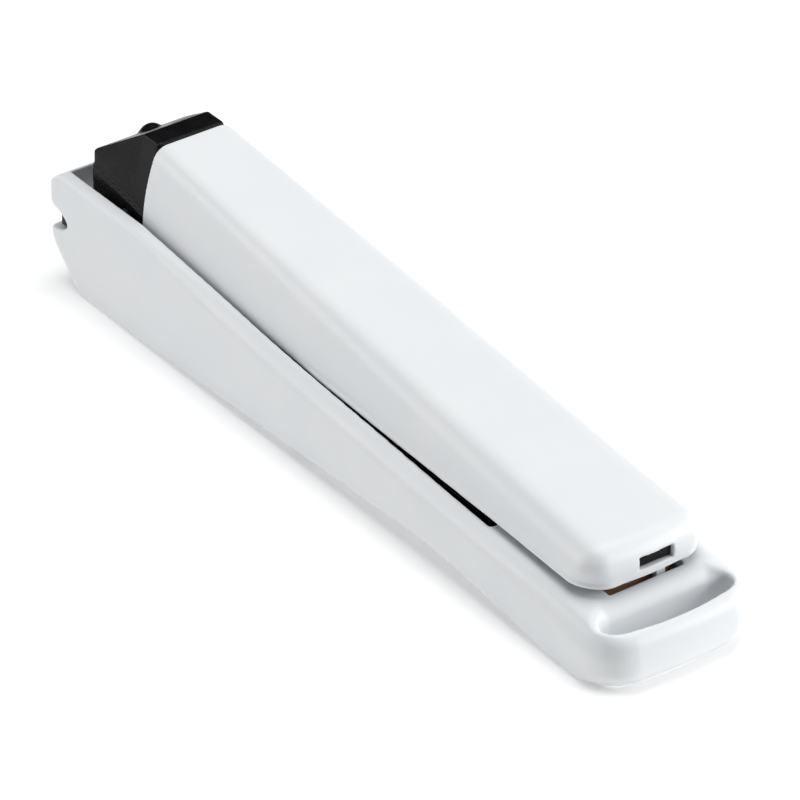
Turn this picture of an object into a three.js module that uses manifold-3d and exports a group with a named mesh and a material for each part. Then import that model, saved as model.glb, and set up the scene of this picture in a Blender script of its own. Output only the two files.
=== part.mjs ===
// Handheld bag heat sealer, battery powered.
//
// A tub-shaped base carries the batteries at its deep rear end, a heated strip
// under a slot in its flat front deck, and a hanging loop at its front end.
// A lever arm lies in the tub, hinged near the rear on a steel pin. A spring
// holds it a little open; pressing its nose down closes the jaws on the bag
// and closes the heater circuit.
//
// Units are millimetres, +Z is up, +X points to the hanging loop. While it is
// drawn, x is the distance from the rear wall; the whole model is then moved
// so that its origin is in the middle of its footprint.

import * as THREE from 'three';
import { mergeVertices } from 'three/addons/utils/BufferGeometryUtils.js';
import Module from 'manifold-3d';

const wasm = await Module();
wasm.setup();

// ---------------------------------------------------------------- sizes

// Gap left between pieces that touch on the real object.
const GAP = 0.3;

// Base.
const LENGTH = 190;
const HALF_WIDTH_REAR = 17;
const HALF_WIDTH_FRONT = 18.6;
const RIM_REAR = 25.7;
const RIM_REAR_END = 31;
const WALL_REAR_TOP = 4.2;
const CHANNEL_END = 147.5;
const CHANNEL_HALF_REAR = 13.8;
const CHANNEL_HALF_FRONT = 14.6;
const BAY_HALF = 15.1;
const BAY_REAR = 8;
const BAY_TOP = 18.4;
const FOOT_REAR_START = 10;
const FOOT_REAR_END = 24;
const FOOT_FRONT_START = 176;
const FLOOR_SLOPE = 0.0425;
const FRONT_FLOOR_SLOPE = 0.112;
const ARCH_START = 114;
const ARCH_END = 150;
const ARCH_CONTROL = [131, 5.5];
const DECK_CAVITY_END = 177.6;
const DECK_CAVITY_TOP = 11.9;
const DECK_CAVITY_FLOOR = 2.2;
const CORNER_REAR = 3;
const CORNER_FRONT_START = 179.5;
const HEEL_TOP = 9;
const TOE_RADIUS = 5.5;
const FRONT_EDGE = 8.4;
// Opening of the rear wall behind the tray's rear bar.
const WINDOW_START = 3.2;
const WINDOW_HALF = 15.9;
const WINDOW_BOTTOM = 13;
const WINDOW_TOP = 17.3;
const WALL_REAR_SEAT = 18.2;

// Underside: battery door at the rear, screwed cover in front of it.
const DOOR_START = 13.4;
const DOOR_END = 70.2;
const DOOR_THICKNESS = 1.5;
const DOOR_LIFT = 0.35;
const COVER_END = 171.6;
const COVER_THICKNESS = 1.6;
const UNDER_HALF = 14.7;
const SCREW_SPOTS = [
  [86, 11.4],
  [158.5, 11.4],
];
const SCREW_HOLE = 1.3;
const POST_RADIUS = 3;
const POST_CLEARANCE = 1.6;

// Heater slot in the deck and hanging loop.
const SLOT_START = 166.2;
const SLOT_END = 176.5;
const SLOT_HALF = 8.8;
const LOOP_REAR = 180.5;
const LOOP_FRONT = 187;
const SCOOP_START = 177;
const SCOOP_HALF = 13;
const LOOP_HALF = 15.3;
const LOOP_CORNER = 2.5;

// Hinge.
const HINGE_X = 22;
const HINGE_Z = 23;
const PIN_RADIUS = 1.5;
const PIN_HALF = 15.8;

// Arm, in its sprung-open position.
const ARM_REAR = 9.9;
const ARM_STATION_NOSE = 178;
const COVER_REAR = 28.7;
const NOSE = 179;
const COVER_WALL = 1.5;
const ARM_TOP_REAR = 40.8;
const ARM_TOP_SLOPE = 17 / 149.3;
const ARM_BOTTOM_NOSE = 16.1;
const ARM_BOTTOM_SLOPE = 0.046;
const ARM_BOTTOM_KNEE = 147.5;
const ARM_BOTTOM_REAR_SLOPE = 0.0377;
const ARM_HALF_TOP_REAR = 8.2;
const ARM_HALF_TOP_NOSE = 14.4;
const ARM_HALF_BOTTOM_REAR = 12.9;
const ARM_HALF_BOTTOM_NOSE = 14.9;
const SKIRT_BOTTOM = 20.3;
const SKIRT_STEP = [70, 76];
const SKIRT_DROP = 3;
const FRAME_DROP = 5;
const FRAME_WALL = 1.3;
const FRAME_INSET = 1.85;
const COVER_ROUND = 2.6;
const NOSE_HALF = 15.4;
const NOSE_CORNER = 7;
const ARM_SCREWS = [55, 118];
const ARM_BOSS_RADIUS = 2.8;
// Small opening in the nose, filled from inside by the frame's snap tab.
const NOSE_WINDOW = [-3.6, 4.6, 18.5, 20.8];
const SNAP_TAB = [-3.2, 4.2, 18.8, 20.5];

// Hinge head: the black end of the arm frame that shows behind the cover.
const HEAD_HALF = 12.2;
const HEAD_HALF_TOP = 8;
const HEAD_SLOPE_END = 23;
const HEAD_CREASE_REAR = 29.6;
const HEAD_CREASE_DROP = 4;
const HEAD_TOP_REAR = 32.5;
const HEAD_TOP = 40.9;
const KNOB_X = 14.2;
const KNOB_RADIUS = 3.4;
const KNOB_TOP = 36.3;
const LUG_RADIUS = 3.2;
const BEAM_HALF = 8.6;
const BEAM_BOTTOM = 18.3;

// Batteries, size AA.
const CELL_RADIUS = 7.1;
const CELL_BODY = 49.5;
const CELL_NUB = 1;
const CELL_Y = 7.4;
const CELL_Z = 11.3;
const CELL_A_START = 15;
const CELL_B_END = 60.5;
const CONTACT_REAR = 9.2;
const CONTACT_FRONT = 65.9;
const SHEET = 0.4;

// Black inner tray.
const TRAY_LID = 19.6;
const TRAY_FLOOR = 10.4;
const TRAY_WALL = 0.8;
const TRAY_FRONT = 67;
const TRAY_HALF = 13.4;
const TRAY_BAR_HALF = 15.6;

// Heater, in the slot.
const HEATER_START = 166.9;
const HEATER_END = 174.1;
const HEATER_TOP = 12.6;
const HEATER_HALF = 7.7;
const HEATER_FOOT = 3.6;
const HEATER_FLANGE_TOP = 5.4;
const HEATER_FLANGE_HALF = 12.5;
const TERMINAL_Y = 8.3;
const TERMINAL_Z = 9.3;

// Contacts that the arm closes, and wires.
const LEAF_X = 128;
const LEAF_Y = 3.5;
const BRIDGE_X = 138;
const BRIDGE_Z = 15.6;
const WIRE_RADIUS = 0.55;

// Jaw under the arm's nose: pad, its holder and the hook in front of them.
const PAD_START = 167.5;
const PAD_END = 173.4;
const PAD_HALF = 7.6;
const PAD_BOTTOM = 15.5;
const PAD_TOP = 16.9;
const HOLDER_START = 166.6;
const HOLDER_END = 174.3;
const HOLDER_HALF = 8.5;
const HOLDER_BOTTOM = 16.2;
const HOOK_REAR = 174.6;
const HOOK_FRONT = 175.9;
const HOOK_SIDES = [2.9, 4.9];
const HOOK_BOTTOM = 9.8;
const HOLDER_TOP = 18;

// ---------------------------------------------------------------- solids

function toSolid(geometry) {
  const bare = geometry.clone();
  bare.deleteAttribute('normal');
  bare.deleteAttribute('uv');
  const merged = mergeVertices(bare, 1e-4);
  return new wasm.Manifold(new wasm.Mesh({
    numProp: 3,
    vertProperties: new Float32Array(merged.attributes.position.array),
    triVerts: new Uint32Array(merged.index.array),
  }));
}

function toGeometry(solid) {
  const mesh = solid.getMesh();
  const geometry = new THREE.BufferGeometry();
  geometry.setAttribute('position', new THREE.BufferAttribute(mesh.vertProperties, 3));
  geometry.setIndex(new THREE.BufferAttribute(mesh.triVerts, 1));
  geometry.computeVertexNormals();
  return geometry;
}

function join(...solids) {
  return solids.reduce((all, next) => all.add(next));
}

function cut(solid, ...tools) {
  return tools.reduce((left, tool) => left.subtract(tool), solid);
}

function polygon(points) {
  return new THREE.Shape(points.map(([x, y]) => new THREE.Vector2(x, y)));
}

// A side outline (x, z) made solid between y = from and y = to.
function acrossY(shape, from, to, curveSegments = 10) {
  const geometry = new THREE.ExtrudeGeometry(shape, {
    depth: to - from,
    bevelEnabled: false,
    curveSegments,
  });
  geometry.rotateX(Math.PI / 2);
  geometry.translate(0, to, 0);
  return toSolid(geometry);
}

// A plan outline (x, y) made solid between z = from and z = to.
function upZ(shape, from, to, curveSegments = 8) {
  const geometry = new THREE.ExtrudeGeometry(shape, {
    depth: to - from,
    bevelEnabled: false,
    curveSegments,
  });
  geometry.translate(0, 0, from);
  return toSolid(geometry);
}

function box(x0, x1, y0, y1, z0, z1) {
  const geometry = new THREE.BoxGeometry(x1 - x0, y1 - y0, z1 - z0);
  geometry.translate((x0 + x1) / 2, (y0 + y1) / 2, (z0 + z1) / 2);
  return toSolid(geometry);
}

function cylinderZ(x, y, radius, z0, z1, segments = 20) {
  const geometry = new THREE.CylinderGeometry(radius, radius, z1 - z0, segments);
  geometry.rotateX(Math.PI / 2);
  geometry.translate(x, y, (z0 + z1) / 2);
  return toSolid(geometry);
}

function cylinderY(x, z, radius, y0, y1, segments = 20) {
  const geometry = new THREE.CylinderGeometry(radius, radius, y1 - y0, segments);
  geometry.translate(x, (y0 + y1) / 2, z);
  return toSolid(geometry);
}

// A round rod whose middle line follows the curve.
function rodAlong(curve, radius, steps, sides = 8) {
  const section = new THREE.Shape();
  section.absarc(0, 0, radius, 0, Math.PI * 2, false);
  return new THREE.ExtrudeGeometry(section, {
    steps,
    curveSegments: sides / 2,
    extrudePath: curve,
    bevelEnabled: false,
  });
}

function wireCurve(points) {
  const route = points.map(([x, y, z]) => new THREE.Vector3(x, y, z));
  return new THREE.CatmullRomCurve3(route, false, 'centripetal');
}

// ---------------------------------------------------------------- base outlines

// Height of the base's underside above the table, behind the arch's crown.
function floorHeight(x) {
  return Math.max(0, (x - FOOT_REAR_END) * FLOOR_SLOPE);
}

// Points of the rim and deck, from the flat rear rim to the loop.
const RIM_POINTS = [
  [RIM_REAR_END, RIM_REAR],
  [58, 23],
  [85, 20.3],
  [118, 17.9],
  [CHANNEL_END, 15.9],
  [176, 14.1],
  [186, 12.4],
];

function followUnderside(shape, lift) {
  const [crownX, crownZ] = ARCH_CONTROL;
  shape.lineTo(ARCH_START, floorHeight(ARCH_START) + lift);
  shape.quadraticCurveTo(crownX, crownZ + lift, ARCH_END, frontFloorHeight(ARCH_END) + lift);
}

// Height of the underside in front of the arch's crown.
function frontFloorHeight(x) {
  return Math.max(0, (FOOT_FRONT_START - x) * FRONT_FLOOR_SLOPE);
}

function baseSideOutline() {
  const shape = new THREE.Shape();
  shape.moveTo(FOOT_REAR_START, 0);
  shape.lineTo(FOOT_REAR_END, 0);
  followUnderside(shape, 0);
  shape.lineTo(FOOT_FRONT_START, 0);
  shape.lineTo(LENGTH - TOE_RADIUS, 0);
  shape.quadraticCurveTo(LENGTH, 0, LENGTH, TOE_RADIUS);
  shape.lineTo(LENGTH, FRONT_EDGE);
  shape.quadraticCurveTo(LENGTH, 12, 186, 12.4);
  const rim = RIM_POINTS.slice(0, -1).reverse().map(([x, z]) => new THREE.Vector2(x, z));
  shape.splineThru(rim);
  shape.lineTo(4.5, RIM_REAR);
  shape.quadraticCurveTo(0, RIM_REAR, 0, 21);
  shape.lineTo(0, HEEL_TOP);
  shape.quadraticCurveTo(2, 2.5, FOOT_REAR_START, 0);
  return shape;
}

function basePlanOutline() {
  const shape = new THREE.Shape();
  shape.moveTo(0, CORNER_REAR - HALF_WIDTH_REAR);
  shape.quadraticCurveTo(0, -HALF_WIDTH_REAR, CORNER_REAR, -HALF_WIDTH_REAR);
  shape.lineTo(CORNER_FRONT_START, -HALF_WIDTH_FRONT);
  shape.quadraticCurveTo(188, -HALF_WIDTH_FRONT, LENGTH - 0.5, -11.5);
  shape.quadraticCurveTo(LENGTH, -6, LENGTH, 0);
  shape.quadraticCurveTo(LENGTH, 6, LENGTH - 0.5, 11.5);
  shape.quadraticCurveTo(188, HALF_WIDTH_FRONT, CORNER_FRONT_START, HALF_WIDTH_FRONT);
  shape.lineTo(CORNER_REAR, HALF_WIDTH_REAR);
  shape.quadraticCurveTo(0, HALF_WIDTH_REAR, 0, HALF_WIDTH_REAR - CORNER_REAR);
  return shape;
}

function loopHoleOutline() {
  const shape = new THREE.Shape();
  shape.moveTo(LOOP_REAR, LOOP_CORNER - LOOP_HALF);
  shape.quadraticCurveTo(LOOP_REAR, -LOOP_HALF, LOOP_REAR + LOOP_CORNER, -LOOP_HALF);
  shape.quadraticCurveTo(185, -LOOP_HALF, 186, -10.5);
  shape.quadraticCurveTo(LOOP_FRONT + 0.6, 0, 186, 10.5);
  shape.quadraticCurveTo(185, LOOP_HALF, LOOP_REAR + LOOP_CORNER, LOOP_HALF);
  shape.quadraticCurveTo(LOOP_REAR, LOOP_HALF, LOOP_REAR, LOOP_HALF - LOOP_CORNER);
  return shape;
}

// Finger notch across the rear end.
function rearNotchOutline() {
  const shape = new THREE.Shape();
  shape.moveTo(-1, 11.4);
  shape.lineTo(5.4, 13.1);
  shape.quadraticCurveTo(9.2, 15, 5.4, 16.8);
  shape.lineTo(-1, 18.4);
  return shape;
}

// ---------------------------------------------------------------- base pieces

function underHeight(x) {
  return x < ARCH_START ? floorHeight(x) : frontFloorHeight(x);
}

function baseShell() {
  const body = acrossY(baseSideOutline(), -20, 20).intersect(upZ(basePlanOutline(), -1, 30));
  const channel = acrossY(polygon([
    [WALL_REAR_TOP, WALL_REAR_SEAT],
    [BAY_REAR, WALL_REAR_SEAT],
    [BAY_REAR + 1, 8],
    [CHANNEL_END, 8],
    [CHANNEL_END, 40],
    [WALL_REAR_TOP, 40],
  ]), -20, 20).intersect(upZ(polygon([
    [0, -CHANNEL_HALF_REAR],
    [CHANNEL_END, -CHANNEL_HALF_FRONT],
    [CHANNEL_END, CHANNEL_HALF_FRONT],
    [0, CHANNEL_HALF_REAR],
  ]), 0, 40));
  const inside = acrossY(polygon([
    [DOOR_START - GAP, -1],
    [COVER_END + GAP, -1],
    [COVER_END + GAP, DECK_CAVITY_FLOOR],
    [DECK_CAVITY_END, DECK_CAVITY_FLOOR],
    [DECK_CAVITY_END, DECK_CAVITY_TOP],
    [CHANNEL_END, 12.9],
    [75, BAY_TOP],
    [BAY_REAR, BAY_TOP],
    [BAY_REAR, 3],
    [DOOR_START - GAP, 3],
  ]), -BAY_HALF, BAY_HALF);
  const slot = box(SLOT_START, SLOT_END, -SLOT_HALF, SLOT_HALF, 5, 30);
  const window = box(WINDOW_START, BAY_REAR + 1, -WINDOW_HALF, WINDOW_HALF, WINDOW_BOTTOM, WINDOW_TOP);
  const loop = upZ(loopHoleOutline(), -1, 30);
  const scoop = acrossY(polygon([
    [SCOOP_START, 14.1],
    [LOOP_REAR + 1, 9],
    [LOOP_REAR + 1, 16],
    [SCOOP_START, 16],
  ]), -SCOOP_HALF, SCOOP_HALF);
  const notch = acrossY(rearNotchOutline(), -20, 20);
  const pinHole = cylinderY(HINGE_X, HINGE_Z, PIN_RADIUS + GAP, -PIN_HALF - GAP, PIN_HALF + GAP);
  let shell = cut(body, channel, inside, slot, window, loop, scoop, notch, pinHole);
  const [rear, front] = SCREW_SPOTS;
  for (const side of [-1, 1]) {
    const wallPost = box(rear[0] - POST_RADIUS, rear[0] + POST_RADIUS,
      ...ordered(side * (rear[1] - POST_RADIUS), side * (BAY_HALF + 0.5)),
      underHeight(rear[0]) + COVER_THICKNESS + POST_CLEARANCE, TRAY_FLOOR - TRAY_WALL - 0.4);
    const deckPost = cylinderZ(front[0], side * front[1], POST_RADIUS,
      underHeight(front[0]) + COVER_THICKNESS + POST_CLEARANCE, 13);
    shell = join(shell, wallPost, deckPost);
    for (const [x, y] of SCREW_SPOTS) {
      shell = cut(shell, cylinderZ(x, side * y, SCREW_HOLE, 0, 9, 14));
    }
  }
  return toGeometry(shell);
}

function ordered(a, b) {
  return a < b ? [a, b] : [b, a];
}

// Plate with the underside's own curve, between two x positions.
function underPlate(start, end, thickness) {
  const lower = new THREE.Shape();
  lower.moveTo(-5, -6);
  lower.lineTo(FOOT_REAR_END, 0);
  followUnderside(lower, 0);
  lower.lineTo(FOOT_FRONT_START, 0);
  lower.lineTo(FOOT_FRONT_START, 30);
  lower.lineTo(-5, 30);
  const upper = new THREE.Shape();
  upper.moveTo(-5, thickness);
  upper.lineTo(FOOT_REAR_END, thickness);
  followUnderside(upper, thickness);
  upper.lineTo(FOOT_FRONT_START + 1, thickness);
  upper.lineTo(FOOT_FRONT_START + 1, 31);
  upper.lineTo(-6, 31);
  const slab = acrossY(lower, -UNDER_HALF, UNDER_HALF);
  const above = acrossY(upper, -20, 20);
  return cut(slab, above).intersect(box(start, end, -20, 20, -2, 20));
}

function batteryDoor() {
  const plate = underPlate(DOOR_START, DOOR_END, DOOR_THICKNESS).translate([0, 0, DOOR_LIFT])
    .intersect(box(0, 100, -20, 20, DOOR_LIFT, 20));
  const hook = join(
    box(DOOR_START + 0.2, DOOR_START + 1.4, -3, 3, 1, 4.6),
    box(DOOR_START - 1.6, DOOR_START + 1.4, -3, 3, 3.4, 4.6),
  );
  const tabZ = floorHeight(DOOR_END) + DOOR_LIFT + DOOR_THICKNESS;
  const tabs = [-1, 1].map((side) => join(
    box(DOOR_END - 4, DOOR_END + 2.6, ...ordered(side * 6, side * 11), tabZ + 0.1, tabZ + 1.3),
    box(DOOR_END - 4, DOOR_END - 2, ...ordered(side * 6, side * 11), tabZ - 1, tabZ + 1),
  ));
  const grip = box(DOOR_START + 3, DOOR_START + 5.5, -7, 7, -1, 1.0);
  return toGeometry(cut(join(plate, hook, ...tabs), grip));
}

function bottomCover() {
  const start = DOOR_END + GAP;
  let cover = underPlate(start, COVER_END, COVER_THICKNESS);
  for (const [x, y] of SCREW_SPOTS) {
    for (const side of [-1, 1]) {
      const z = underHeight(x);
      const pad = cylinderZ(x, side * y, 3.2, z + 0.6, z + COVER_THICKNESS + 1.3);
      const pocket = cylinderZ(x, side * y, 2.6, z - 2, z + 1.5);
      const hole = cylinderZ(x, side * y, SCREW_HOLE, z, z + 4, 14);
      cover = cut(join(cover, pad), pocket, hole);
    }
  }
  return toGeometry(cover);
}

// Pan-head self-tapping screw, head down, with a cross recess.
function screw(shankLength) {
  const headRadius = 2.1;
  const headHeight = 1.1;
  const profile = [
    [0, 0],
    [headRadius * 0.75, 0],
    [headRadius, headHeight * 0.5],
    [headRadius, headHeight],
    [1, headHeight],
    [1, headHeight + shankLength - 1],
    [0.2, headHeight + shankLength],
    [0, headHeight + shankLength],
  ].map(([r, z]) => new THREE.Vector2(r, z));
  const geometry = new THREE.LatheGeometry(profile, 16);
  geometry.rotateX(Math.PI / 2);
  const recess = join(
    box(-1.1, 1.1, -0.25, 0.25, -1, 0.6),
    box(-0.25, 0.25, -1.1, 1.1, -1, 0.6),
  );
  return toGeometry(cut(toSolid(geometry), recess));
}

// Black inner tray: lid of the battery bay and floor of the arm's channel.
function innerTray() {
  const lidBottom = TRAY_LID - TRAY_WALL;
  const wallEnd = TRAY_FRONT + 1.2;
  const lidHalf = 10.6;
  const rearFace = BAY_REAR + GAP;
  const barBottom = WINDOW_BOTTOM + GAP;
  const bay = box(rearFace + 0.1, wallEnd, -lidHalf, lidHalf, lidBottom, TRAY_LID);
  const ledges = [-1, 1].map((side) => (
    box(rearFace + 0.1, wallEnd, ...ordered(side * (lidHalf - 0.3), side * TRAY_HALF), 18.2, 19)
  ));
  const frontWall = box(TRAY_FRONT, wallEnd, -TRAY_HALF, TRAY_HALF, 6.8, 18.9);
  const floor = box(TRAY_FRONT, CHANNEL_END - GAP, -TRAY_HALF, TRAY_HALF, TRAY_FLOOR - TRAY_WALL, TRAY_FLOOR);
  const rearWeb = join(
    box(rearFace, rearFace + 0.7, -13, 13, barBottom, lidBottom + 0.2),
    box(WINDOW_START + GAP, BAY_REAR + 0.8, -TRAY_BAR_HALF, TRAY_BAR_HALF, barBottom, WINDOW_TOP - GAP),
  );
  const springWell = box(HINGE_X - 5, HINGE_X + 5, -6.5, 6.5, 15, 25);
  const wireGates = [-1, 1].map((side) => (
    box(TRAY_FRONT - 1, TRAY_FRONT + 2, ...ordered(side * 12.6, side * 15), 5, 8.4)
  ));
  const lugSlots = [-1, 1].map((side) => (
    box(LEAF_X - 0.6, LEAF_X + 1, ...ordered(side * (LEAF_Y - 2.1), side * (LEAF_Y + 2.1)), 5, 12)
  ));
  const tray = join(bay, ...ledges, frontWall, floor, rearWeb);
  return toGeometry(cut(tray, springWell, ...wireGates, ...lugSlots));
}

function batteryCell() {
  const profile = [
    [0, 0],
    [CELL_RADIUS - 0.8, 0],
    [CELL_RADIUS, 0.8],
    [CELL_RADIUS, CELL_BODY - 0.6],
    [CELL_RADIUS - 0.6, CELL_BODY],
    [2.7, CELL_BODY],
    [2.7, CELL_BODY + CELL_NUB],
    [0, CELL_BODY + CELL_NUB],
  ].map(([r, z]) => new THREE.Vector2(r, z));
  return new THREE.LatheGeometry(profile, 28);
}

function contactPlate(width) {
  return new THREE.BoxGeometry(SHEET, width, 11);
}

// Conical compression spring along +X, wide end at x = 0.
function batterySpring(length) {
  const turns = 3.5;
  const wide = 4.6;
  const narrow = 2.4;
  const steps = 42;
  const points = [];
  for (let i = 0; i <= steps; i += 1) {
    const t = i / steps;
    const angle = t * turns * 2 * Math.PI;
    const radius = wide + (narrow - wide) * t;
    points.push(new THREE.Vector3(
      0.4 + t * (length - 0.8),
      radius * Math.cos(angle),
      radius * Math.sin(angle),
    ));
  }
  return rodAlong(new THREE.CatmullRomCurve3(points), 0.35, steps, 6);
}

function hingePin() {
  return new THREE.CylinderGeometry(PIN_RADIUS, PIN_RADIUS, 2 * PIN_HALF, 24);
}

// Torsion spring round the hinge pin, in hinge coordinates. One leg stands on
// the tray, the other pushes up under the arm frame.
function returnSpring() {
  const turns = 5;
  const radius = 2.5;
  const half = 3.4;
  const perTurn = 12;
  const points = [new THREE.Vector3(-9, -half, -2.3), new THREE.Vector3(-5, -half, -2.4)];
  for (let i = 0; i <= turns * perTurn; i += 1) {
    const t = i / (turns * perTurn);
    const angle = -Math.PI / 2 - t * turns * 2 * Math.PI;
    points.push(new THREE.Vector3(
      radius * Math.cos(angle),
      -half + 2 * half * t,
      radius * Math.sin(angle),
    ));
  }
  points.push(new THREE.Vector3(-4, half + 0.2, 0.6));
  points.push(new THREE.Vector3(-5.5, half + 0.2, 5));
  return rodAlong(new THREE.CatmullRomCurve3(points, false, 'centripetal'), 0.4, 96, 6);
}

// Heat-resistant block that carries the heated strip up into the slot.
function heaterBlock() {
  const neck = box(HEATER_START, HEATER_END, -HEATER_HALF, HEATER_HALF, HEATER_FOOT, HEATER_TOP);
  const flange = box(HEATER_START, HEATER_END, -HEATER_FLANGE_HALF, HEATER_FLANGE_HALF,
    HEATER_FOOT, HEATER_FLANGE_TOP);
  return toGeometry(join(neck, flange));
}

function heaterStrip() {
  return new THREE.BoxGeometry(2.6, 15.8, 0.2);
}

function heaterTape() {
  return new THREE.BoxGeometry(HEATER_END - HEATER_START, 17, 0.15);
}

function heaterTerminal() {
  return new THREE.BoxGeometry(3.4, SHEET, 7);
}

// Springy brass contact: lug through the tray floor, foot, and a raised tip.
function switchLeaf() {
  const t = SHEET;
  const shape = polygon([
    [0, -2.6],
    [t, -2.6],
    [t, 0.3],
    [4, 0.3],
    [11.5, 2.9],
    [13, 2.4],
    [13.2, 2.8],
    [11.6, 3.4],
    [3.9, 0.3 + t],
    [0, 0.3 + t],
  ]);
  return toGeometry(acrossY(shape, -1.6, 1.6));
}

// ---------------------------------------------------------------- arm pieces

function armTop(x) {
  return ARM_TOP_REAR - (x - COVER_REAR) * ARM_TOP_SLOPE;
}

function armBottom(x) {
  const front = (ARM_STATION_NOSE - Math.max(x, ARM_BOTTOM_KNEE)) * ARM_BOTTOM_SLOPE;
  const rear = Math.max(0, ARM_BOTTOM_KNEE - x) * ARM_BOTTOM_REAR_SLOPE;
  return ARM_BOTTOM_NOSE + front + rear;
}

function between(x, rearValue, noseValue) {
  const t = (x - COVER_REAR) / (ARM_STATION_NOSE - COVER_REAR);
  return rearValue + (noseValue - rearValue) * t;
}

function armHalfTop(x) {
  return between(x, ARM_HALF_TOP_REAR, ARM_HALF_TOP_NOSE);
}

function armHalfBottom(x) {
  return between(x, ARM_HALF_BOTTOM_REAR, ARM_HALF_BOTTOM_NOSE);
}

// Solid with a changing cross-section. At each station x, the section is a
// stack of levels [half-width, height] from bottom to top.
function stacked(stations, levelsAt) {
  const count = levelsAt(stations[0]).length;
  const outline = [];
  for (let i = 0; i < count; i += 1) {
    outline.push(new THREE.Vector2(1, i));
  }
  for (let i = count - 1; i >= 0; i -= 1) {
    outline.push(new THREE.Vector2(-1, i));
  }
  const geometry = new THREE.ExtrudeGeometry(new THREE.Shape(outline), {
    depth: stations.length - 1,
    steps: stations.length - 1,
    bevelEnabled: false,
  });
  const position = geometry.attributes.position;
  for (let i = 0; i < position.count; i += 1) {
    const x = stations[Math.round(position.getZ(i))];
    const [half, height] = levelsAt(x)[Math.round(position.getY(i))];
    position.setXYZ(i, x, position.getX(i) * half, height);
  }
  return toSolid(geometry);
}

function spread(from, to, count) {
  return Array.from({ length: count + 1 }, (_, i) => from + (to - from) * (i / count));
}

function noseOutline(inset) {
  const half = NOSE_HALF - inset;
  const tip = NOSE - inset;
  const shape = new THREE.Shape();
  shape.moveTo(0, -half);
  shape.lineTo(tip - NOSE_CORNER, -half);
  shape.quadraticCurveTo(tip - 0.9, -half, tip - 0.7, -half + NOSE_CORNER);
  shape.quadraticCurveTo(tip + 0.4, 0, tip - 0.7, half - NOSE_CORNER);
  shape.quadraticCurveTo(tip - 0.9, half, tip - NOSE_CORNER, half);
  shape.lineTo(0, half);
  return shape;
}

function noseSideOutline() {
  const shape = new THREE.Shape();
  shape.moveTo(0, 0);
  shape.lineTo(NOSE, 0);
  shape.lineTo(NOSE, 20.6);
  shape.quadraticCurveTo(NOSE, armTop(NOSE) - 0.1, NOSE - 3.5, armTop(NOSE - 3.5));
  shape.lineTo(NOSE - 3.5, 50);
  shape.lineTo(0, 50);
  return shape;
}

// Level on the cover's swelling sides, with share of the way up from the
// straight foot to the rounded top edge.
function swellLevel(x, share, inset) {
  const foot = armBottom(x) + COVER_ROUND;
  const shoulder = armTop(x) - COVER_ROUND;
  const half = armHalfBottom(x) + (armHalfTop(x) + 0.5 - armHalfBottom(x)) * share ** 2;
  return [half - inset, foot + (shoulder - foot) * share];
}

function armCover() {
  const outer = stacked(coverStations(COVER_REAR, NOSE), (x) => [
    [armHalfBottom(x), armBottom(x)],
    swellLevel(x, 0, 0),
    swellLevel(x, 0.5, 0),
    swellLevel(x, 1, 0),
    [armHalfTop(x) - 0.3, armTop(x) - COVER_ROUND * 0.35],
    [armHalfTop(x) - COVER_ROUND * 0.8, armTop(x)],
  ]);
  const inner = stacked(coverStations(COVER_REAR - 1, NOSE), (x) => [
    [armHalfBottom(x) - COVER_WALL, armBottom(x) - 2],
    swellLevel(x, 0, COVER_WALL),
    swellLevel(x, 0.5, COVER_WALL),
    swellLevel(x, 1, COVER_WALL + 0.1),
    [armHalfTop(x) - COVER_ROUND, armTop(x) - COVER_WALL],
  ]).intersect(upZ(noseOutline(COVER_WALL), 0, 50));
  const window = box(NOSE - 3, NOSE + 2, ...NOSE_WINDOW);
  let shell = outer.intersect(upZ(noseOutline(0), 0, 50)).intersect(acrossY(noseSideOutline(), -20, 20));
  shell = cut(shell, inner);
  for (const x of ARM_SCREWS) {
    shell = join(shell, cylinderZ(x, 0, ARM_BOSS_RADIUS, frameTop(x) + 0.6, armTop(x) - 1));
  }
  for (const x of ARM_SCREWS) {
    shell = cut(shell, cylinderZ(x, 0, SCREW_HOLE, 10, armTop(x) - 1.1, 14));
  }
  return toGeometry(cut(shell, window));
}

// Stations along the cover, one of them at the knee of its lower edge.
function coverStations(rear, nose) {
  return [...spread(rear, ARM_BOTTOM_KNEE, 6), ...spread(ARM_BOTTOM_KNEE, nose, 2).slice(1)];
}

function frameTop(x) {
  return armTop(x) - FRAME_DROP;
}

function skirtBottom(x) {
  return x <= SKIRT_STEP[0] ? SKIRT_BOTTOM : armBottom(x) - SKIRT_DROP;
}

// Levels of the hinge head that shows behind the cover: skirt, crease, top.
function headLevels(x, inset) {
  const t = Math.min(1, (x - ARM_REAR) / (HEAD_SLOPE_END - ARM_REAR));
  const crease = HEAD_CREASE_REAR - HEAD_CREASE_DROP * ((x - ARM_REAR) / (COVER_REAR - ARM_REAR));
  const top = HEAD_TOP_REAR + (HEAD_TOP - HEAD_TOP_REAR) * t;
  const halfTop = HEAD_HALF + (HEAD_HALF_TOP - HEAD_HALF) * t;
  return [
    [HEAD_HALF - inset, SKIRT_BOTTOM - (inset > 0 ? 2 : 0)],
    [HEAD_HALF - inset, crease - inset * 0.4],
    [halfTop - inset, top - inset],
  ];
}

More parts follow.
